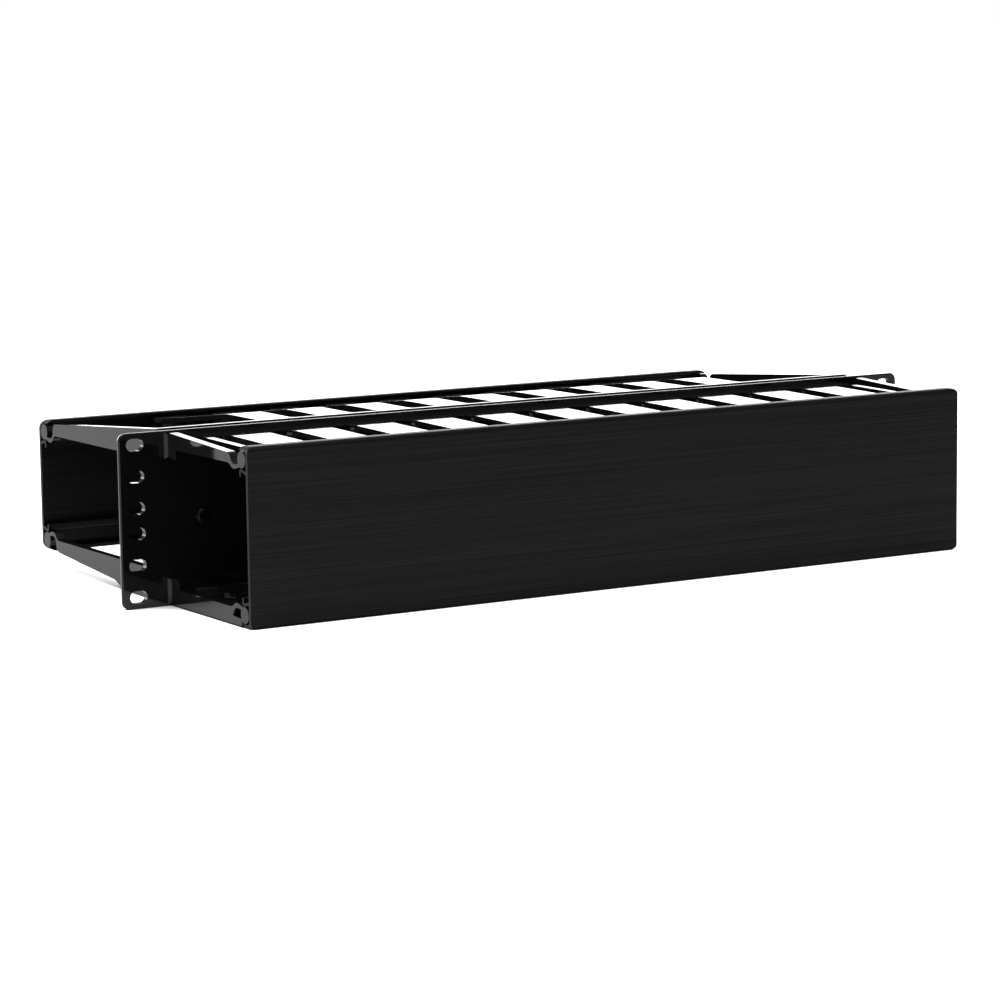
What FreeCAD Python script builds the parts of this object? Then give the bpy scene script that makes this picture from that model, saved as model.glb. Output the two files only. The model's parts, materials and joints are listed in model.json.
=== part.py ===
import FreeCAD, Part
import math
import os

from FreeCAD import Vector

# Horizontal cable manager for a 19 inch rack, two rack units high, with a finger channel
# in front of the mounting panel and a deeper one behind it.
# Millimetres. X runs to the right, Y runs from the front to the back and Z up. The origin
# is the middle of the rack hole pattern, in the plane where the ears lie against the rails.

# ---------------------------------------------------------------- rack interface
RACK_UNIT_HEIGHT = 44.45
RACK_UNITS = 2
PANEL_PLAY = 0.8            # the panel is this much lower than its rack units
PANEL_WIDTH = 482.6
PANEL_WALL = 3.5
EAR_WIDTH = 26.3            # panel end to the channels' ends
EAR_CORNER = 4.0
SLOT_EDGE = 8.75            # slot centres in from the panel's ends
SLOT_LENGTH = 9.4
SLOT_HEIGHT = 6.2
FIRST_HOLE = 6.35           # from a rack unit's edge to its first hole
HOLE_STEP = 15.875          # hole to hole inside one rack unit

# ---------------------------------------------------------------- spine between the channels
SPINE_GAP = 6.0             # groove between the front moulding and the rear moulding
REAR_WALL = 3.5
PASS_COUNT = 4
PASS_PITCH = 88.0
PASS_LENGTH = 60.0
PASS_HEIGHT = 40.0
PASS_CORNER = 10.0
COLLAR_WALL = 2.4
SCREW_INSET = 19.0          # outermost screws in from the channels' ends
SCREW_SHANK_R = 1.9
SCREW_HEAD_R = 4.0
SCREW_HEAD_H = 2.2
SCREW_RECESS_R = 1.6
SCREW_RECESS_DEPTH = 1.2
SCREW_CLEARANCE = 0.15
SCREW_BITE = 7.0            # length of shank inside the rear boss
BOSS_WALL = 3.0
BOSS_FLOOR = 1.6

# ---------------------------------------------------------------- channels
FRONT_REACH = 91.0          # rails to the front cover's outer face
REAR_REACH = 154.5          # rails to the rear cover's outer face
FINGER_WALL = 2.6
FINGER_PITCH = 35.3
FRONT_FINGER_WIDTH = 21.4
REAR_FINGER_WIDTH = 19.5
FRONT_END_GAP = 6.0         # least gap between the outermost finger and the end finger
REAR_END_GAP = 50.0         # least cable exit between the outermost finger and the lip
FLANGE_DEPTH = 12.0         # unslotted strip between the wall and the finger roots
FRONT_ROOT_RADIUS = 6.0     # corners at the bottom of each finger gap
REAR_ROOT_RADIUS = 3.0
COVE = 4.0                  # rounding under the flange, against the wall
FRONT_STEP = 3.0            # flange top below the panel's edge
REAR_STEP = 1.6
FRONT_BEND = 14.0           # wall to where the fingers start to fall towards the cover
REAR_BEND = 47.0
BEND_EASE = 8.0             # half length of the curve at that bend
FRONT_SHOULDER_RISE = 2.4   # shoulders above the hinge axis
REAR_SHOULDER_RISE = 4.2
END_FINGER_WIDTH = 4.0
END_FINGER_GAP = 9.0        # between an end finger and its lip

# ---------------------------------------------------------------- end lips
LIP_WALL = 4.5
FRONT_LIP_STEP = 0.8
FRONT_LIP_HEIGHT = 8.2
REAR_LIP_STEP = 0.4
REAR_LIP_HEIGHT = 15.5
REAR_LIP_RISE = 5.4         # upper edge above the hinge axis, where the tip starts to dip
FOOT_REACH = 39.0           # full-height part of the rear lip's lower edge
FOOT_RADIUS = 16.0
LIP_ROOT_RADIUS = 5.0
EAR_GUSSET_RADIUS = 10.0    # rounding between a front lip's outer side and the ear
EAR_GUSSET_STEP = 2.0       # the upper ones start this far below the lip

# ---------------------------------------------------------------- covers and their hinges
COVER_WALL = 2.0
REAR_COVER_STEP = 8.5       # rear cover's edges in from the panel's, the front cover is level
FRONT_EDGE_RADIUS = 2.5     # along the covers' long edges
REAR_EDGE_RADIUS = 4.2
FRONT_COVER_CORNER = 3.0    # outline corners
REAR_COVER_CORNER = 5.0
JAW_DEPTH = 8.7             # how far flange and hook reach in from the outer face
JAW_FILLET = 2.2
HOOK_WALL = 1.4
HOOK_RISE = 1.2
HOOK_DROP = 2.4
BEAD_RADIUS = 4.1
BEAD_CLEARANCE = 0.35       # bead to the cover's wall, flange and hook
NECK_WALL = 2.3
SHOULDER = 15.5             # hinge axis to where the finger starts to dip
NECK_DIP = 7.4              # hinge axis to the lowest part of the neck
SWEEP_CLEARANCE = 0.6       # channel to the circle that the cover's flange sweeps

PANEL_HEIGHT = RACK_UNITS * RACK_UNIT_HEIGHT - PANEL_PLAY
TOP = PANEL_HEIGHT / 2
REAR_COVER_HEIGHT = PANEL_HEIGHT - 2 * REAR_COVER_STEP
CHANNEL_WIDTH = PANEL_WIDTH - 2 * EAR_WIDTH     # over the end lips and over the covers
SLOT_PITCH_X = PANEL_WIDTH - 2 * SLOT_EDGE
SCREW_SPREAD = CHANNEL_WIDTH / 2 - SCREW_INSET
FRONT_FACE = PANEL_WALL     # distance in front of the rails
REAR_FACE = SPINE_GAP + REAR_WALL
LIP_INSIDE = CHANNEL_WIDTH / 2 - LIP_WALL
END_FINGER_OUTSIDE = LIP_INSIDE - END_FINGER_GAP
HINGE_INSET = COVER_WALL + BEAD_CLEARANCE + BEAD_RADIUS     # cover's outer faces to hinge axis
LEVEL = 0.01                # radians, flatter than this is drawn straight
UP = Vector(0, 0, 1)
ALONG = Vector(1, 0, 0)
BACK = Vector(0, 1, 0)


# ---------------------------------------------------------------- helpers
def at(y, z, x=0.0):
    return Vector(x, y, z)


def outline(start, *steps):
    """Face from a start point and steps: a point is a line, a tuple of points is a curve."""
    edges, here = [], start
    for step in steps:
        if isinstance(step, Vector):
            edges.append(Part.makeLine(here, step))
            here = step
        elif len(step) == 2:
            edges.append(Part.Arc(here, step[0], step[1]).toShape())
            here = step[1]
        else:
            curve = Part.BezierCurve()
            curve.setPoles([here] + list(step))
            edges.append(curve.toShape())
            here = step[-1]
    if (here - start).Length > 1e-6:
        edges.append(Part.makeLine(here, start))
    return Part.Face(Part.Wire(edges))


def ogee(start, end):
    """Steps of an S-curve of two equal arcs, level at both of its ends."""
    run, rise = (end.y - start.y) / 2, (end.z - start.z) / 2
    half = math.atan2(rise, run) if run > 0 else math.atan2(-rise, -run)
    if abs(half) < LEVEL:
        return [end]
    radius = run / math.sin(2 * half)
    bow = at(radius * math.sin(half), radius * (1 - math.cos(half)))
    middle = start + at(run, rise)
    return [(start + bow, middle), (end - bow, end)]


def corner(point, radius, leaving, arriving):
    """Step round a rounded corner: a quarter circle from point, turning between two ways."""
    ease = radius * math.sqrt(0.5)
    return (point + leaving * ease + arriving * (radius - ease), point + (leaving + arriving) * radius)


def across(face, left, right):
    """Extrude a face drawn at x = 0 from left to right."""
    solid = face.extrude(ALONG * (right - left))
    solid.translate(ALONG * left)
    return solid


def both_sides(shape):
    return [shape, shape.mirror(Vector(0, 0, 0), ALONG)]


def top_and_bottom(shape):
    return [shape, shape.mirror(Vector(0, 0, 0), UP)]


def in_front(shapes):
    """Channel pieces drawn outwards from y = 0, turned to stand on the panel's front face."""
    return [shape.mirror(Vector(0, -FRONT_FACE / 2, 0), BACK) for shape in shapes]


def behind(shapes):
    """Channel pieces drawn outwards from y = 0, moved to stand on the rear wall's back face."""
    return [shape.translated(BACK * REAR_FACE) for shape in shapes]


def rounded_plate(width, height, radius, wall, x, y, z):
    """Upright plate centred on x and z, with rounded corners, its front face at y."""
    plate = Part.makeBox(width, wall, height, Vector(x - width / 2, y, z - height / 2))
    corners = [e for e in plate.Edges if abs(e.tangentAt(e.FirstParameter).y) > 0.99]
    return plate.makeFillet(radius, corners)


def rod(radius, length, x, y, z):
    return Part.makeCylinder(radius, length, Vector(x, y, z), BACK)


def fused(shapes):
    return shapes[0].multiFuse(shapes[1:]).removeSplitter()


# ---------------------------------------------------------------- hinge geometry
class Hinge:
    """Hinge line of a cover's upper edge, in distance out from the channel's wall."""

    def __init__(self, depth, cover_height):
        self.out = depth - HINGE_INSET
        self.z = cover_height / 2 - HINGE_INSET

    def point(self, inward, up):
        return at(self.out - inward, self.z + up)

    def on_bead(self, degrees):
        angle = math.radians(degrees)
        return at(self.out + BEAD_RADIUS * math.cos(angle), self.z + BEAD_RADIUS * math.sin(angle))

    def fingertip(self, shoulder):
        """Steps from a finger's shoulder down over the neck, round the bead and back under it."""
        drop = JAW_DEPTH - HINGE_INSET + SWEEP_CLEARANCE    # below the opened cover's flange
        leave = 180 + math.degrees(math.atan2(drop, BEAD_RADIUS))
        join = leave + math.degrees(NECK_WALL / BEAD_RADIUS)
        return ogee(shoulder, self.point(NECK_DIP, -drop)) + [
            self.on_bead(leave),
            (self.on_bead((leave + join) / 2 - 180), self.on_bead(join)),
            self.point(NECK_DIP, -drop - NECK_WALL),
        ]


FRONT_HINGE = Hinge(FRONT_REACH - FRONT_FACE, PANEL_HEIGHT)
REAR_HINGE = Hinge(REAR_REACH - REAR_FACE, REAR_COVER_HEIGHT)


# ---------------------------------------------------------------- finger combs
def finger_section(hinge, root_top, bend, rise):
    """Upper finger seen from the end: flange, blade, dipped neck and round hinge bead."""
    kink = at(bend, root_top)
    shoulder = hinge.point(SHOULDER, rise)
    eased = kink + (shoulder - kink) * (BEND_EASE / (shoulder.y - bend))
    thick = UP * -FINGER_WALL
    cove = at(COVE, root_top) + thick
    tip = hinge.fingertip(shoulder)
    return outline(
        at(0, root_top), at(bend - BEND_EASE, root_top), (kink, kink, eased), shoulder, *tip,
        *ogee(tip[-1], shoulder + thick), eased + thick,
        (kink + thick, kink + thick, at(bend - BEND_EASE, root_top) + thick), cove,
        corner(cove, COVE, -BACK, -UP))


def gap_cutter(left, right, root, tip, root_radius):
    """Upright slot between two fingers, with rounded corners at its root."""
    radius = min(root_radius, (right - left) * 0.45)
    slot = Part.makeBox(right - left, tip - root, PANEL_HEIGHT, Vector(left, root, -TOP))
    corners = [e for e in slot.Edges
               if abs(e.tangentAt(e.FirstParameter).z) > 0.99 and e.CenterOfMass.y < root + 0.1]
    return slot.makeFillet(radius, corners)


def finger_gaps(width, room, end):
    """Left and right edge of every gap in a comb, for as many fingers as the room holds."""
    count = int((2 * room - width) / FINGER_PITCH) + 1
    half = (count - 1) / 2
    side = (FINGER_PITCH - width) / 2
    middles = [(index + 0.5 - half) * FINGER_PITCH for index in range(count - 1)]
    outer = half * FINGER_PITCH + width / 2
    return [(x - side, x + side) for x in middles] + [(outer, end), (-end, -outer)]


def comb(hinge, section, half_width, gaps, root_radius):
    """Upper and lower row of fingers on their flanges, standing out from a wall at y = 0."""
    blades = top_and_bottom(across(section, -half_width, half_width))
    beyond = hinge.out + 2 * BEAD_RADIUS
    cutters = [gap_cutter(left, right, FLANGE_DEPTH, beyond, root_radius) for left, right in gaps]
    return [blade.cut(cutters) for blade in blades]


# ---------------------------------------------------------------- end lips
def lip_root(low):
    """Steps that end a lip's section: along its lower edge and round the corner at the wall."""
    return [at(LIP_ROOT_RADIUS, low), corner(at(LIP_ROOT_RADIUS, low), LIP_ROOT_RADIUS, -BACK, -UP)]


def lip_section(hinge, top, height, rise, foot=()):
    """Deep outer finger whose tip dips to a hinge bead like the others."""
    low = top - height
    shoulder = hinge.point(SHOULDER, rise)
    tip = hinge.fingertip(shoulder)
    return outline(at(0, top), *foot, shoulder, *tip, *ogee(tip[-1], at(shoulder.y, low)),
                   *lip_root(low))


def front_lips():
    """The lower ones stay level out to the cover's flange."""
    top = TOP - FRONT_LIP_STEP
    section = lip_section(FRONT_HINGE, top, FRONT_LIP_HEIGHT, FRONT_SHOULDER_RISE)
    end = FRONT_HINGE.out - (JAW_DEPTH - HINGE_INSET) - SWEEP_CLEARANCE
    inside = TOP - COVER_WALL - JAW_FILLET
    level = outline(at(0, top), at(end - FRONT_LIP_STEP, top), at(end, top - FRONT_LIP_STEP),
                    at(end, inside), *lip_root(top - FRONT_LIP_HEIGHT))
    return lips(section, section.fuse(level).removeSplitter())


def rear_lips():
    """The lower ones keep a full-height foot near the wall."""
    top = TOP - REAR_LIP_STEP
    shoulder = REAR_HINGE.point(SHOULDER, REAR_LIP_RISE)
    foot_end = FOOT_REACH + FOOT_RADIUS
    after = at(foot_end, top - (top - shoulder.z) * foot_end / shoulder.y)
    foot = [at(FOOT_REACH, top),
            (at(FOOT_REACH + FOOT_RADIUS / 2, top), after - BACK * (FOOT_RADIUS / 4), after)]
    return lips(*[lip_section(REAR_HINGE, top, REAR_LIP_HEIGHT, REAR_LIP_RISE, steps)
                  for steps in ((), foot)])


def lips(upper, lower):
    """Four lips from the sections of an upper one and of a lower one drawn upside down."""
    outside = CHANNEL_WIDTH / 2
    top = across(upper, LIP_INSIDE, outside)
    bottom = across(lower, LIP_INSIDE, outside).mirror(Vector(0, 0, 0), UP)
    return both_sides(top) + both_sides(bottom)


# ---------------------------------------------------------------- walls
def pass_centres():
    return [(index - (PASS_COUNT - 1) / 2) * PASS_PITCH for index in range(PASS_COUNT)]


def screw_centres():
    """One screw near each end and one between every two pass-throughs."""
    between = [(index - (PASS_COUNT - 2) / 2) * PASS_PITCH for index in range(PASS_COUNT - 1)]
    return [-SCREW_SPREAD] + between + [SCREW_SPREAD]


def pass_through(grow, y, depth):
    return [rounded_plate(PASS_LENGTH + 2 * grow, PASS_HEIGHT + 2 * grow, PASS_CORNER + grow,
                          depth, x, y, 0) for x in pass_centres()]


def rack_slots():
    slots = []
    for unit in range(RACK_UNITS):
        for hole in range(3):
            z = (unit - RACK_UNITS / 2) * RACK_UNIT_HEIGHT + FIRST_HOLE + hole * HOLE_STEP
            for x in (-SLOT_PITCH_X / 2, SLOT_PITCH_X / 2):
                slots.append(rounded_plate(SLOT_LENGTH, SLOT_HEIGHT, SLOT_HEIGHT * 0.49,
                                           PANEL_WALL, x, -FRONT_FACE, z))
    return slots


def ear_gussets():
    """Roundings in the corners between the front lips' outer sides and the ears."""
    side, face = CHANNEL_WIDTH / 2, -FRONT_FACE
    root = Vector(side - LIP_WALL / 2, face + PANEL_WALL / 2, 0)
    inner = Vector(side, face - EAR_GUSSET_RADIUS, 0)
    outer = Vector(side + EAR_GUSSET_RADIUS, face, 0)
    bow = EAR_GUSSET_RADIUS * (1 - math.sqrt(0.5))
    section = outline(
        root, Vector(root.x, inner.y, 0), inner,
        (Vector(side + bow, face - bow, 0), outer), Vector(outer.x, root.y, 0))
    top = TOP - FRONT_LIP_STEP
    low = top - FRONT_LIP_HEIGHT - LIP_ROOT_RADIUS
    outer_corner = Vector(side, face - EAR_GUSSET_RADIUS, low)
    trim = Part.makeBox(EAR_GUSSET_RADIUS, 2 * EAR_GUSSET_RADIUS, EAR_GUSSET_RADIUS, outer_corner)
    trim = trim.cut(rod(EAR_GUSSET_RADIUS, 2 * EAR_GUSSET_RADIUS, side, outer_corner.y,
                        low + EAR_GUSSET_RADIUS))
    gusset = section.extrude(UP * (top - low)).translated(UP * low).cut(trim)
    step = Part.makeBox(2 * side, side, EAR_GUSSET_STEP, Vector(0, -side, top - EAR_GUSSET_STEP))
    return both_sides(gusset.cut(step)) + both_sides(gusset.mirror(Vector(0, 0, 0), UP))


def front_panel():
    """Mounting panel with its ears, the collars round the pass-throughs and the front lips."""
    panel = rounded_plate(PANEL_WIDTH, PANEL_HEIGHT, EAR_CORNER, PANEL_WALL, 0, -FRONT_FACE, 0)
    collars = pass_through(COLLAR_WALL, 0, SPINE_GAP)
    boss_radius = SCREW_SHANK_R + SCREW_CLEARANCE + BOSS_WALL
    bosses = [rod(boss_radius, SPINE_GAP, x, 0, 0) for x in screw_centres()]
    depth = FRONT_FACE + SPINE_GAP
    holes = pass_through(0, -FRONT_FACE, depth) + rack_slots()
    holes += [rod(SCREW_SHANK_R + SCREW_CLEARANCE, depth, x, -FRONT_FACE, 0)
              for x in screw_centres()]
    lips_and_gussets = in_front(front_lips()) + ear_gussets()
    return fused([panel] + collars + bosses + lips_and_gussets).cut(holes)


def front_fingers():
    """Upper and lower comb of the front channel, each with a narrow finger at both ends."""
    inside = END_FINGER_OUTSIDE - END_FINGER_WIDTH
    gaps = finger_gaps(FRONT_FINGER_WIDTH, inside - FRONT_END_GAP, inside)
    section = finger_section(FRONT_HINGE, TOP - FRONT_STEP, FRONT_BEND, FRONT_SHOULDER_RISE)
    return in_front(comb(FRONT_HINGE, section, END_FINGER_OUTSIDE, gaps, FRONT_ROOT_RADIUS))


def rear_wall():
    """Wall screwed to the back of the front moulding, with the rear channel's lips."""
    wall = rounded_plate(CHANNEL_WIDTH, PANEL_HEIGHT, EAR_CORNER / 2, REAR_WALL, 0, SPINE_GAP, 0)
    boss_radius = SCREW_SHANK_R + BOSS_WALL
    bosses = [rod(boss_radius, SCREW_BITE + BOSS_FLOOR, x, SPINE_GAP, 0) for x in screw_centres()]
    holes = pass_through(0, SPINE_GAP, REAR_WALL)
    holes += [rod(SCREW_SHANK_R, SCREW_BITE, x, SPINE_GAP, 0) for x in screw_centres()]
    return fused([wall] + bosses + behind(rear_lips())).cut(holes)


def rear_fingers():
    """Upper and lower comb of the rear channel, with wide cable exits beside the lips."""
    gaps = finger_gaps(REAR_FINGER_WIDTH, LIP_INSIDE - REAR_END_GAP, LIP_INSIDE)
    section = finger_section(REAR_HINGE, TOP - REAR_STEP, REAR_BEND, REAR_SHOULDER_RISE)
    return behind(comb(REAR_HINGE, section, LIP_INSIDE, gaps, REAR_ROOT_RADIUS))


def screw(x):
    """Pan head screw through the front moulding into the rear one's boss."""
    shank = rod(SCREW_SHANK_R, FRONT_FACE + SPINE_GAP + SCREW_BITE, x, -FRONT_FACE, 0)
    crown = -FRONT_FACE - SCREW_HEAD_H
    head = rod(SCREW_HEAD_R, SCREW_HEAD_H, x, crown, 0)
    rim = [e for e in head.Edges if abs(e.CenterOfMass.y - crown) < 1e-6]
    head = head.makeChamfer(SCREW_HEAD_H * 0.4, rim)
    recess = rod(SCREW_RECESS_R, SCREW_RECESS_DEPTH, x, crown, 0)
    return head.fuse(shank).cut(recess).removeSplitter()


# ---------------------------------------------------------------- covers
def hook_section(reach, top):
    """Hook below a cover's upper edge: it rises inwards under the bead and turns down."""
    inner = reach - COVER_WALL
    tip = reach - JAW_DEPTH
    bend = tip + HOOK_WALL
    crest = top - COVER_WALL - 2 * (BEAD_RADIUS + BEAD_CLEARANCE)
    bow = HOOK_WALL * (1 - math.sqrt(0.5))
    return outline(
        at(inner + COVER_WALL / 2, crest - HOOK_RISE),
        at(inner, crest - HOOK_RISE),
        at(inner - BEAD_RADIUS, crest),
        at(bend, crest),
        (at(tip + bow, crest - bow), at(tip, crest - HOOK_WALL)),
        at(tip, crest - HOOK_WALL - HOOK_DROP),
        at(bend, crest - HOOK_WALL - HOOK_DROP),
        at(bend, crest - HOOK_WALL),
        at(inner - BEAD_RADIUS, crest - HOOK_WALL),
        at(inner, crest - HOOK_RISE - HOOK_WALL),
        at(inner + COVER_WALL / 2, crest - HOOK_RISE - HOOK_WALL),
    )


def cover(reach, height, edge_radius, outline_radius):
    """Flat cover with a flange along both long edges and a hook behind each of them."""
    low, top = -height / 2, height / 2
    inner = reach - COVER_WALL
    tip = reach - JAW_DEPTH
    lead = tip + COVER_WALL / 2
    edge = reach - edge_radius
    bow = edge_radius * (1 - math.sqrt(0.5))
    fill = JAW_FILLET * (1 - math.sqrt(0.5))
    shell = outline(
        at(lead, top), at(edge, top),
        (at(reach - bow, top - bow), at(reach, top - edge_radius)),
        at(reach, low + edge_radius),
        (at(reach - bow, low + bow), at(edge, low)),
        at(lead, low),
        (at(tip, low + COVER_WALL / 2), at(lead, low + COVER_WALL)),
        at(inner - JAW_FILLET, low + COVER_WALL),
        (at(inner - fill, low + COVER_WALL + fill), at(inner, low + COVER_WALL + JAW_FILLET)),
        at(inner, top - COVER_WALL - JAW_FILLET),
        (at(inner - fill, top - COVER_WALL - fill), at(inner - JAW_FILLET, top - COVER_WALL)),
        at(lead, top - COVER_WALL),
        (at(tip, top - COVER_WALL / 2), at(lead, top)),
    )
    half = CHANNEL_WIDTH / 2
    hooks = top_and_bottom(across(hook_section(reach, top), -half, half))
    blank = rounded_plate(CHANNEL_WIDTH, height, outline_radius, JAW_DEPTH, 0, tip, 0)
    return fused([across(shell, -half, half)] + hooks).common(blank)


def front_cover():
    shape = cover(FRONT_REACH, PANEL_HEIGHT, FRONT_EDGE_RADIUS, FRONT_COVER_CORNER)
    return shape.mirror(Vector(0, 0, 0), BACK)


def rear_cover():
    return cover(REAR_REACH, REAR_COVER_HEIGHT, REAR_EDGE_RADIUS, REAR_COVER_CORNER)


# ---------------------------------------------------------------- output
def write(name, shape):
    solids = shape.Solids
    assert len(solids) == 1 and solids[0].isValid(), name
    solids[0].exportStep("parts/%s.step" % name)
    box = shape.BoundBox
    print("%-14s %9.0f mm3  x %.1f..%.1f  y %.1f..%.1f  z %.1f..%.1f" % (
        name, shape.Volume, box.XMin, box.XMax, box.YMin, box.YMax, box.ZMin, box.ZMax))


os.makedirs("parts", exist_ok=True)
write("front_panel", front_panel())
write("rear_wall", rear_wall())
for name, combs in (("front_fingers", front_fingers()), ("rear_fingers", rear_fingers())):
    for side, solid in zip(("top", "bottom"), combs):
        write("%s_%s" % (name, side), solid)
write("front_cover", front_cover())
write("rear_cover", rear_cover())
for number, centre in enumerate(screw_centres(), 1):
    write("screw_%d" % number, screw(centre))
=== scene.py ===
import json
import math

import bpy
from mathutils import Matrix, Vector


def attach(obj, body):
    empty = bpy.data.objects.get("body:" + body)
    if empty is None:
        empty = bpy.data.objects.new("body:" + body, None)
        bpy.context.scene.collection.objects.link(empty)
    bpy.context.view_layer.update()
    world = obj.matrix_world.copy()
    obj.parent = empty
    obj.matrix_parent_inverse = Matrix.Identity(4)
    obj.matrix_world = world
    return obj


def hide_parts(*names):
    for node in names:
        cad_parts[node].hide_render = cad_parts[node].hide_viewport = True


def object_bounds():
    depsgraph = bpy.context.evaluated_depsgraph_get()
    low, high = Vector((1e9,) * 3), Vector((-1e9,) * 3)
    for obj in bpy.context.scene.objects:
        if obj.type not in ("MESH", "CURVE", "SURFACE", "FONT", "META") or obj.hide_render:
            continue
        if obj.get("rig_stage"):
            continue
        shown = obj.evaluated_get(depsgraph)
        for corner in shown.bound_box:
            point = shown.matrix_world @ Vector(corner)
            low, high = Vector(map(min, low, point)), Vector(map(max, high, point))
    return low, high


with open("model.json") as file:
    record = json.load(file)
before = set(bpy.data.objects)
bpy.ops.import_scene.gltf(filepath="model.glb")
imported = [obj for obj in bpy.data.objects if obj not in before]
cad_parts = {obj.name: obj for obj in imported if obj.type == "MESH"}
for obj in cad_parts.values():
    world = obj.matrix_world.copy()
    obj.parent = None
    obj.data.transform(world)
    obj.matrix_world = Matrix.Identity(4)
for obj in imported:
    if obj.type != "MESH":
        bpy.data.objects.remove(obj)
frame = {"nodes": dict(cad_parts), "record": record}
SIZES = {"cad": [list(corner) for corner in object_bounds()]}

bl_info = {
    "name": "Horizontal cable manager",
    "version": (1, 0, 0),
    "blender": (4, 5, 0),
    "location": "View3D > Sidebar > Cable manager",
    "description": "Finishes a two-unit rack cable manager with finger channels and hinged covers",
    "category": "Object",
}

MM = 0.001
MOULDINGS = [name for name in frame["nodes"]
             if any(word in name for word in ("panel", "wall", "fingers"))]
COVERS = ["front_cover", "rear_cover"]
SCREWS = [name for name in frame["nodes"] if name.startswith("screw")]

# shapes that the rounded copies follow
LIP_SIDE = 215 * MM          # outer sides of the lips and of the rear wall
EAR_FACE = -3.5 * MM         # front face of the panel and its ears
# upright plates: half width and the faces their rims lie in, with each rim's rounding and
# whether it runs round the corners
RIMS = {
    "front_panel": (241.3 * MM, ((EAR_FACE, 0.7 * MM, True), (0.0, 2.2 * MM, True))),
    "rear_wall": (LIP_SIDE, ((6.0 * MM, 1.5 * MM, True), (9.5 * MM, 0.35 * MM, False))),
}
RIM_CORNER = 3.9 * MM        # reach of the plates' rounded corners
GUSSET_REACH = 10.5 * MM
GUSSET_HEIGHT = 13.5 * MM
LIP_STEP = 0.8 * MM          # the lips' outer faces lie this far inside the panel's outline
LIP_FILLET = 2 * MM

# how the copies are cleaned, rounded and shaded
TOUCH = 0.01 * MM            # a point this near to a face lies in it
CORNER_TOUCH = 0.02 * MM
CUT_MARGIN = 0.1 * MM        # the trimming blocks stand past the lips by this much
MERGE_DISTANCE = 0.002 * MM
MERGE_ANGLE = math.radians(0.5)
SHARP_ANGLE = math.radians(40)
SMOOTH_ANGLE = math.radians(21)
RIM_SEGMENTS = 4
EDGE_SEGMENTS = 2
WIDE_FACE = 3000 * MM * MM   # flat faces from this area keep their own normal up to their edges
WIDE_FACE_WEIGHT = 100       # elsewhere the largest face at a corner sets its normal

# texture cells per metre
PATCH_SCALE = 22
PEEL_SCALE = 420
GRAIN_SCALE = 2600
SPECKLE_SCALE = 1900
WEAR_SCALE = 900
LINE_STRETCH = (0.004, 1, 1)
BAND_STRETCH = (0.01, 1, 1)
LINES_PER_BAND = 9
TEXTURE_RANGE = (0.3, 0.7)   # where most of a noise texture's values lie

# stage: place, width and height of each softbox, in metres
REAR_SOFTBOX = ((0.3, 2.6, 0.42), 4.4, 0.9)
TOP_SOFTBOX = ((-0.7, 0.1, 2.1), 2.0, 1.6)
FLOOR_SIZE = 30
SHADE_REACH = 0.25
SHADE_RANGE = (0.3, 0.55)    # open share of the sky from full shadow to none
SENSOR_WIDTH = 36
VIEW_LIMIT = 100


# ---------------------------------------------------------------- settings
class MouldingSettings(bpy.types.PropertyGroup):
    """Black moulded panel, wall and finger combs."""
    colour: bpy.props.FloatVectorProperty(
        name="Colour", description="Colour of the moulded plastic", subtype="COLOR", size=3,
        min=0, max=1, default=(0.006, 0.006, 0.0065))
    roughness: bpy.props.FloatProperty(
        name="Roughness", description="Polish of the mould, lower is glossier", subtype="FACTOR",
        min=0, max=1, default=0.06)
    edge: bpy.props.FloatProperty(
        name="Edge radius", description="Rounding of the moulded edges", unit="LENGTH",
        subtype="DISTANCE", min=0, default=0.6 * MM)


class CoverSettings(bpy.types.PropertyGroup):
    """Extruded covers."""
    colour: bpy.props.FloatVectorProperty(
        name="Colour", description="Colour of the extruded plastic", subtype="COLOR", size=3,
        min=0, max=1, default=(0.0045, 0.0046, 0.0052))
    roughness: bpy.props.FloatProperty(
        name="Roughness", description="Sheen of the extrusion", subtype="FACTOR",
        min=0, max=1, default=0.42)
    line_pitch: bpy.props.FloatProperty(
        name="Line pitch", description="Spacing of the fine lengthwise die lines", unit="LENGTH",
        subtype="DISTANCE", min=0.00005, default=0.6 * MM)


class ScrewSettings(bpy.types.PropertyGroup):
    """Blackened screws."""
    colour: bpy.props.FloatVectorProperty(
        name="Colour", description="Colour of the coated steel", subtype="COLOR", size=3,
        min=0, max=1, default=(0.012, 0.012, 0.013))
    roughness: bpy.props.FloatProperty(
        name="Roughness", description="Sheen of the coating", subtype="FACTOR",
        min=0, max=1, default=0.38)


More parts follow.
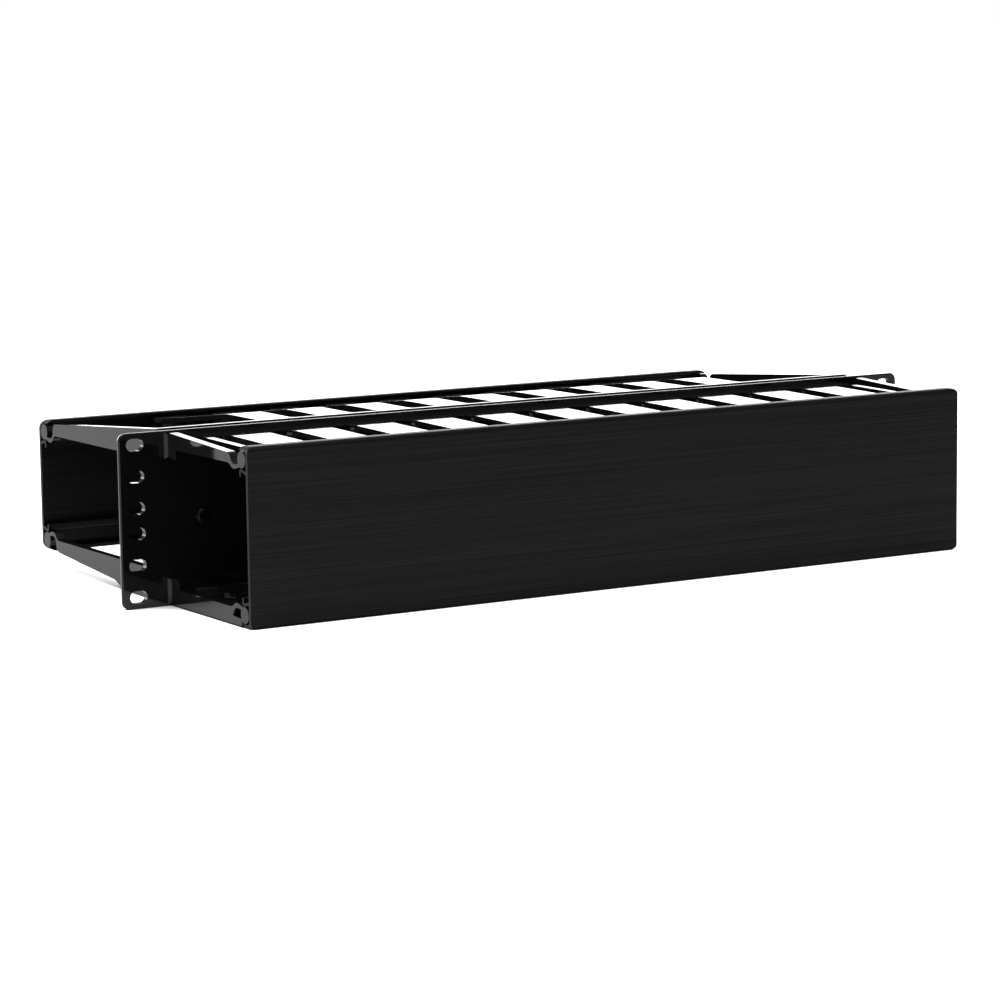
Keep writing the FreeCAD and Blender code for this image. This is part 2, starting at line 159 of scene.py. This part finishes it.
class StageSettings(bpy.types.PropertyGroup):
    """Floor, lights and camera."""
    floor_colour: bpy.props.FloatVectorProperty(
        name="Floor colour", description="Colour of the plain floor", subtype="COLOR", size=3,
        min=0, max=1, default=(0.86, 0.86, 0.86))
    ambient: bpy.props.FloatProperty(
        name="Ambient", description="Level of the light from all round", min=0, default=0.22)
    rear_light: bpy.props.FloatProperty(
        name="Rear light", description="Power of the low softbox behind the object",
        subtype="POWER", min=0, default=45)
    top_light: bpy.props.FloatProperty(
        name="Top light", description="Power of the softbox overhead", subtype="POWER",
        min=0, default=58)
    azimuth: bpy.props.FloatProperty(
        name="Azimuth", description="Camera's direction round the object, from the front",
        subtype="ANGLE", default=math.radians(-31.262))
    elevation: bpy.props.FloatProperty(
        name="Elevation", description="Camera's height above the horizon", subtype="ANGLE",
        default=math.radians(7.913))
    roll: bpy.props.FloatProperty(
        name="Roll", description="Camera's turn about its own axis", subtype="ANGLE",
        default=math.radians(-0.759))
    distance: bpy.props.FloatProperty(
        name="Distance", description="Camera to the point it looks at", unit="LENGTH",
        subtype="DISTANCE", default=1.752)
    lens: bpy.props.FloatProperty(
        name="Lens", description="Focal length on a 36 mm sensor", unit="CAMERA", default=119.457)
    target: bpy.props.FloatVectorProperty(
        name="Target", description="Point that the camera looks at", subtype="TRANSLATION",
        size=3, default=(-0.022033, -0.0035, -0.006865))


# ---------------------------------------------------------------- material helpers
def new_material(name):
    material = bpy.data.materials.new(name)
    material.use_nodes = True
    tree = material.node_tree
    shader = next(node for node in tree.nodes if node.type == "BSDF_PRINCIPLED")
    return material, tree, shader


def pattern(tree, kind, scale, stretch=(1, 1, 1), **sockets):
    """A texture on the object's own coordinates, with cells about 1/scale metres wide."""
    place = tree.nodes.new("ShaderNodeTexCoord")
    mapping = tree.nodes.new("ShaderNodeMapping")
    mapping.inputs["Scale"].default_value = stretch
    texture = tree.nodes.new(kind)
    texture.inputs["Scale"].default_value = scale
    for name, value in sockets.items():
        texture.inputs[name.replace("_", " ")].default_value = value
    tree.links.new(place.outputs["Object"], mapping.inputs["Vector"])
    tree.links.new(mapping.outputs["Vector"], texture.inputs["Vector"])
    return texture


def spread(tree, factor, low, high):
    """A number that runs from low to high with a texture's value."""
    node = tree.nodes.new("ShaderNodeMapRange")
    node.inputs["From Min"].default_value = TEXTURE_RANGE[0]
    node.inputs["From Max"].default_value = TEXTURE_RANGE[1]
    node.inputs["To Min"].default_value = low
    node.inputs["To Max"].default_value = high
    tree.links.new(factor, node.inputs["Value"])
    return node.outputs["Result"]


def tint(tree, factor, colour, amount):
    """A colour that varies about its own value by a share of it."""
    node = tree.nodes.new("ShaderNodeMix")
    node.data_type = "RGBA"
    node.inputs["A"].default_value = [c * (1 - amount) for c in colour] + [1]
    node.inputs["B"].default_value = [c * (1 + amount) for c in colour] + [1]
    tree.links.new(factor, node.inputs["Factor"])
    return node.outputs["Result"]


def bump(tree, height, distance, strength, under=None):
    """A surface relief from a texture's value, laid over another where one is given."""
    node = tree.nodes.new("ShaderNodeBump")
    node.inputs["Distance"].default_value = distance
    node.inputs["Strength"].default_value = strength
    tree.links.new(height, node.inputs["Height"])
    if under is not None:
        tree.links.new(under, node.inputs["Normal"])
    return node.outputs["Normal"]


def vary(tree, shader, textures, settings, colour_spread, dull, shiny):
    """Vary the colour and the roughness with textures, about the values in the settings."""
    colour_texture, roughness_texture = textures
    tree.links.new(tint(tree, colour_texture.outputs["Fac"], settings.colour, colour_spread),
                   shader.inputs["Base Color"])
    tree.links.new(spread(tree, roughness_texture.outputs["Fac"],
                          settings.roughness * shiny, settings.roughness * dull),
                   shader.inputs["Roughness"])


def glossy_moulding(settings):
    """Polished black plastic with a faint orange peel and slightly dulled patches."""
    material, tree, shader = new_material("glossy_black_moulding")
    patches = pattern(tree, "ShaderNodeTexNoise", PATCH_SCALE, Detail=3.0)
    peel = pattern(tree, "ShaderNodeTexNoise", PEEL_SCALE, Detail=2.0)
    grain = pattern(tree, "ShaderNodeTexNoise", GRAIN_SCALE, Detail=2.0)
    vary(tree, shader, (patches, patches), settings, 0.25, dull=1.35, shiny=0.8)
    fine = bump(tree, grain.outputs["Fac"], 0.01 * MM, 0.25)
    tree.links.new(bump(tree, peel.outputs["Fac"], 0.03 * MM, 0.3, fine), shader.inputs["Normal"])
    shader.inputs["Specular IOR Level"].default_value = 0.42
    return material


def lined_extrusion(settings):
    """Charcoal plastic drawn through a die, which leaves fine lines along its length."""
    material, tree, shader = new_material("satin_charcoal_extrusion")
    density = 1 / settings.line_pitch
    lines = pattern(tree, "ShaderNodeTexNoise", density, LINE_STRETCH, Detail=3.0, Roughness=0.6)
    bands = pattern(tree, "ShaderNodeTexNoise", density / LINES_PER_BAND, BAND_STRETCH, Detail=2.0)
    speckle = pattern(tree, "ShaderNodeTexNoise", SPECKLE_SCALE, Detail=2.0)
    vary(tree, shader, (lines, bands), settings, 0.8, dull=1.12, shiny=0.9)
    fine = bump(tree, speckle.outputs["Fac"], 0.01 * MM, 0.3)
    tree.links.new(bump(tree, lines.outputs["Fac"], 0.03 * MM, 0.5, fine), shader.inputs["Normal"])
    tree.links.new(spread(tree, lines.outputs["Fac"], 0.15, 0.25),
                   shader.inputs["Specular IOR Level"])
    return material


def blackened_steel(settings):
    """Black coated screw steel, a little brighter where the coating is thin."""
    material, tree, shader = new_material("blackened_steel")
    wear = pattern(tree, "ShaderNodeTexNoise", WEAR_SCALE, Detail=4.0)
    vary(tree, shader, (wear, wear), settings, 0.5, dull=1.3, shiny=0.8)
    tree.links.new(bump(tree, wear.outputs["Fac"], 0.02 * MM, 0.3), shader.inputs["Normal"])
    shader.inputs["Metallic"].default_value = 0.85
    return material


def dress(piece, material):
    piece.data.materials.clear()
    piece.data.materials.append(material)


# ---------------------------------------------------------------- piece helpers
def body_of(node):
    groups = frame["record"]["behaviour"]["bodies"]
    return next(body for body, members in groups.items() if node in members)


def select_only(piece):
    bpy.ops.object.select_all(action="DESELECT")
    piece.select_set(True)
    bpy.context.view_layer.objects.active = piece


def bevel_edges(piece, wanted, radius, segments):
    """Round over the edges for which wanted(start, end) is true."""
    mesh = piece.data
    bpy.ops.object.mode_set(mode="EDIT")
    bpy.ops.mesh.select_mode(type="EDGE")
    bpy.ops.mesh.select_all(action="DESELECT")
    bpy.ops.object.mode_set(mode="OBJECT")
    found = 0
    for edge in mesh.edges:
        start, end = (mesh.vertices[index].co for index in edge.vertices)
        edge.select = wanted(start, end)
        found += edge.select
    if not found:
        raise RuntimeError("no edges to round on " + piece.name)
    bpy.ops.object.mode_set(mode="EDIT")
    bpy.ops.mesh.bevel(offset=radius, segments=segments, affect="EDGES", clamp_overlap=False)
    bpy.ops.object.mode_set(mode="OBJECT")


def round_rims(piece, half_width, rims):
    """Round a plate's outline where it meets its front and back faces."""
    top = SIZES["cad"][1][2]

    def on_outline(x, z, corners):
        if z > top - TOUCH:
            return True
        on_corner = x > half_width - RIM_CORNER and z > top - RIM_CORNER
        return corners and (x > half_width - TOUCH or on_corner)

    for face, radius, corners in rims:
        def on_rim(*ends):
            return all(abs(end.y - face) < TOUCH and on_outline(abs(end.x), abs(end.z), corners)
                       for end in ends)
        bevel_edges(piece, on_rim, radius, RIM_SEGMENTS)


def trim_gussets(piece):
    """Cut the rounding between lips and ears back and give it a tight fillet."""
    top = SIZES["cad"][1][2] - LIP_STEP
    for side in (-1, 1):
        for end in (-1, 1):
            bpy.ops.object.select_all(action="DESELECT")
            bpy.ops.mesh.primitive_cube_add(size=1)
            block = bpy.context.active_object
            bpy.ops.transform.resize(value=(GUSSET_REACH, GUSSET_REACH, GUSSET_HEIGHT))
            bpy.ops.transform.translate(value=(side * (LIP_SIDE + GUSSET_REACH / 2),
                                               EAR_FACE - GUSSET_REACH / 2,
                                               end * (top - GUSSET_HEIGHT / 2 + CUT_MARGIN)))
            bpy.ops.object.transform_apply()
            select_only(piece)
            cut = piece.modifiers.new("trim", "BOOLEAN")
            cut.operation = "DIFFERENCE"
            cut.solver = "EXACT"
            cut.object = block
            bpy.ops.object.modifier_apply(modifier="trim")
            bpy.data.objects.remove(block, do_unlink=True)

    def on_corner(*ends):
        return all(abs(abs(end.x) - LIP_SIDE) < CORNER_TOUCH
                   and abs(end.y - EAR_FACE) < CORNER_TOUCH
                   and abs(end.z) > top - GUSSET_HEIGHT for end in ends)
    bevel_edges(piece, on_corner, LIP_FILLET, RIM_SEGMENTS)


def rounded_copy(node, name, radius):
    """A copy of a node's mesh with its facets merged and its sharp edges rounded over."""
    select_only(frame["nodes"][node])
    bpy.ops.object.duplicate()
    piece = bpy.context.active_object
    piece.name = piece.data.name = name
    piece.parent = None
    for key in [key for key in piece.keys() if key.startswith("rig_")]:
        del piece[key]
    bpy.ops.object.mode_set(mode="EDIT")
    bpy.ops.mesh.select_all(action="SELECT")
    bpy.ops.mesh.remove_doubles(threshold=MERGE_DISTANCE)
    bpy.ops.mesh.dissolve_limited(angle_limit=MERGE_ANGLE)
    bpy.ops.object.mode_set(mode="OBJECT")
    if node == "front_panel":
        trim_gussets(piece)
    if node in RIMS:
        round_rims(piece, *RIMS[node])
    bevel = piece.modifiers.new("edges", "BEVEL")
    bevel.width = radius
    bevel.segments = EDGE_SEGMENTS
    bevel.limit_method = "ANGLE"
    bevel.angle_limit = SHARP_ANGLE
    bevel.use_clamp_overlap = True
    bpy.ops.object.modifier_apply(modifier="edges")
    bpy.ops.object.shade_smooth_by_angle(angle=SMOOTH_ANGLE)
    mesh = piece.data
    for face in mesh.polygons:
        if face.area > WIDE_FACE:
            for corner in face.loop_indices:
                mesh.edges[mesh.loops[corner].edge_index].use_edge_sharp = True
    flats = piece.modifiers.new("flats", "WEIGHTED_NORMAL")
    flats.mode = "FACE_AREA"
    flats.weight = WIDE_FACE_WEIGHT
    flats.keep_sharp = True
    bpy.ops.object.modifier_apply(modifier="flats")
    return piece


# ---------------------------------------------------------------- operators
class CABLEMANAGER_OT_mouldings(bpy.types.Operator):
    """Round the edges of the panel, the wall and the finger combs, and give them their gloss"""
    bl_idname = "cable_manager.mouldings"
    bl_label = "Black mouldings"

    def execute(self, context):
        settings = context.scene.manager_mouldings
        material = glossy_moulding(settings)
        for node in MOULDINGS:
            piece = rounded_copy(node, node + "_moulding", settings.edge)
            dress(piece, material)
            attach(piece, body_of(node))
            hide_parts(node)
            dress(frame["nodes"][node], material)
        return {"FINISHED"}


class CABLEMANAGER_OT_covers(bpy.types.Operator):
    """Give the two extruded covers their lined satin finish"""
    bl_idname = "cable_manager.covers"
    bl_label = "Covers"

    def execute(self, context):
        material = lined_extrusion(context.scene.manager_covers)
        for node in COVERS:
            dress(frame["nodes"][node], material)
        return {"FINISHED"}


class CABLEMANAGER_OT_screws(bpy.types.Operator):
    """Finish the screws that join the two mouldings"""
    bl_idname = "cable_manager.screws"
    bl_label = "Screws"

    def execute(self, context):
        material = blackened_steel(context.scene.manager_screws)
        for node in SCREWS:
            dress(frame["nodes"][node], material)
        return {"FINISHED"}


class CABLEMANAGER_OT_stage(bpy.types.Operator):
    """Set up the floor, the soft lights and the camera"""
    bl_idname = "cable_manager.stage"
    bl_label = "Stage"

    def execute(self, context):
        settings = context.scene.manager_stage
        self.add_floor(settings)
        self.add_world(context, settings)
        self.add_softbox("rear_softbox", *REAR_SOFTBOX, settings.rear_light)
        self.add_softbox("top_softbox", *TOP_SOFTBOX, settings.top_light)
        self.add_camera(context, settings)
        return {"FINISHED"}

    def add_floor(self, settings):
        """A plain floor that the camera sees as white, except where the object shades it."""
        bpy.ops.object.select_all(action="DESELECT")
        low = SIZES["cad"][0][2]
        bpy.ops.mesh.primitive_plane_add(size=FLOOR_SIZE, location=(0, 0, low))
        floor = bpy.context.active_object
        floor.name = "floor"
        bpy.ops.object.transform_apply(location=True)
        material, tree, shader = new_material("pale_floor")
        shader.inputs["Base Color"].default_value = list(settings.floor_colour) + [1]
        shader.inputs["Roughness"].default_value = 0.9
        shader.inputs["Specular IOR Level"].default_value = 0.0
        white = tree.nodes.new("ShaderNodeEmission")
        path = tree.nodes.new("ShaderNodeLightPath")
        add = tree.nodes.new("ShaderNodeAddShader")
        openness = tree.nodes.new("ShaderNodeAmbientOcclusion")
        openness.inputs["Distance"].default_value = SHADE_REACH
        clear = tree.nodes.new("ShaderNodeMapRange")
        clear.interpolation_type = "SMOOTHSTEP"
        clear.inputs["From Min"].default_value = SHADE_RANGE[0]
        clear.inputs["From Max"].default_value = SHADE_RANGE[1]
        lift = tree.nodes.new("ShaderNodeMath")
        lift.operation = "MULTIPLY"
        output = next(node for node in tree.nodes if node.type == "OUTPUT_MATERIAL")
        tree.links.new(openness.outputs["AO"], clear.inputs["Value"])
        tree.links.new(path.outputs["Is Camera Ray"], lift.inputs[0])
        tree.links.new(clear.outputs["Result"], lift.inputs[1])
        tree.links.new(lift.outputs["Value"], white.inputs["Strength"])
        tree.links.new(shader.outputs["BSDF"], add.inputs[0])
        tree.links.new(white.outputs["Emission"], add.inputs[1])
        tree.links.new(add.outputs["Shader"], output.inputs["Surface"])
        dress(floor, material)
        floor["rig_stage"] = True

    def add_world(self, context, settings):
        """Even light from all round, and a white background for the camera."""
        world = bpy.data.worlds.new("studio")
        context.scene.world = world
        world.use_nodes = True
        tree = world.node_tree
        background = next(node for node in tree.nodes if node.type == "BACKGROUND")
        background.inputs["Color"].default_value = (1, 1, 1, 1)
        path = tree.nodes.new("ShaderNodeLightPath")
        level = tree.nodes.new("ShaderNodeMix")
        level.inputs["A"].default_value = settings.ambient
        level.inputs["B"].default_value = 1.0
        tree.links.new(path.outputs["Is Camera Ray"], level.inputs["Factor"])
        tree.links.new(level.outputs["Result"], background.inputs["Strength"])

    def add_softbox(self, name, place, width, height, power):
        """A rectangular light that faces the object and stays out of the picture."""
        data = bpy.data.lights.new(name, "AREA")
        data.shape = "RECTANGLE"
        data.size = width
        data.size_y = height
        data.energy = power
        lamp = bpy.data.objects.new(name, data)
        bpy.context.scene.collection.objects.link(lamp)
        lamp.location = place
        lamp.rotation_euler = Vector(place).to_track_quat("Z", "Y").to_euler()
        lamp.visible_camera = False

    def add_camera(self, context, settings):
        """A camera on a sphere round the target, turned about its own axis by the roll."""
        data = bpy.data.cameras.new("camera")
        data.lens = settings.lens
        data.sensor_width = SENSOR_WIDTH
        data.clip_end = VIEW_LIMIT
        camera = bpy.data.objects.new("camera", data)
        context.scene.collection.objects.link(camera)
        out = Vector((math.sin(settings.azimuth) * math.cos(settings.elevation),
                      -math.cos(settings.azimuth) * math.cos(settings.elevation),
                      math.sin(settings.elevation)))
        place = Vector(settings.target) + out * settings.distance
        turn = out.to_track_quat("Z", "Y").to_matrix().to_4x4()
        roll = Matrix.Rotation(settings.roll, 4, "Z")
        camera.matrix_world = Matrix.Translation(place) @ turn @ roll
        context.scene.camera = camera
        context.scene.view_settings.view_transform = "Standard"


# ---------------------------------------------------------------- panel and registration
class CABLEMANAGER_PT_sidebar(bpy.types.Panel):
    """Sizes, finishes and steps of the cable manager"""
    bl_idname = "CABLEMANAGER_PT_sidebar"
    bl_label = "Cable manager"
    bl_space_type = "VIEW_3D"
    bl_region_type = "UI"
    bl_category = "Cable manager"

    def draw(self, context):
        groups = ("manager_mouldings", "manager_covers", "manager_screws", "manager_stage")
        for group, operator in zip(groups, OPERATORS):
            box = self.layout.box()
            box.operator(operator.bl_idname)
            settings = getattr(context.scene, group)
            for name in settings.bl_rna.properties.keys():
                if name not in ("rna_type", "name"):
                    box.prop(settings, name)


OPERATORS = [CABLEMANAGER_OT_mouldings, CABLEMANAGER_OT_covers, CABLEMANAGER_OT_screws,
             CABLEMANAGER_OT_stage]
CLASSES = [MouldingSettings, CoverSettings, ScrewSettings, StageSettings] + OPERATORS + [
    CABLEMANAGER_PT_sidebar]


def register():
    for cls in CLASSES:
        bpy.utils.register_class(cls)
    scene = bpy.types.Scene
    scene.manager_mouldings = bpy.props.PointerProperty(type=MouldingSettings)
    scene.manager_covers = bpy.props.PointerProperty(type=CoverSettings)
    scene.manager_screws = bpy.props.PointerProperty(type=ScrewSettings)
    scene.manager_stage = bpy.props.PointerProperty(type=StageSettings)


def unregister():
    scene = bpy.types.Scene
    del scene.manager_stage, scene.manager_screws, scene.manager_covers, scene.manager_mouldings
    for cls in reversed(CLASSES):
        bpy.utils.unregister_class(cls)


def main():
    register()
    bpy.ops.cable_manager.mouldings()
    bpy.ops.cable_manager.covers()
    bpy.ops.cable_manager.screws()
    bpy.ops.cable_manager.stage()
    SIZES["visual"] = [list(corner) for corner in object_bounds()]


if __name__ == "__main__":
    main()
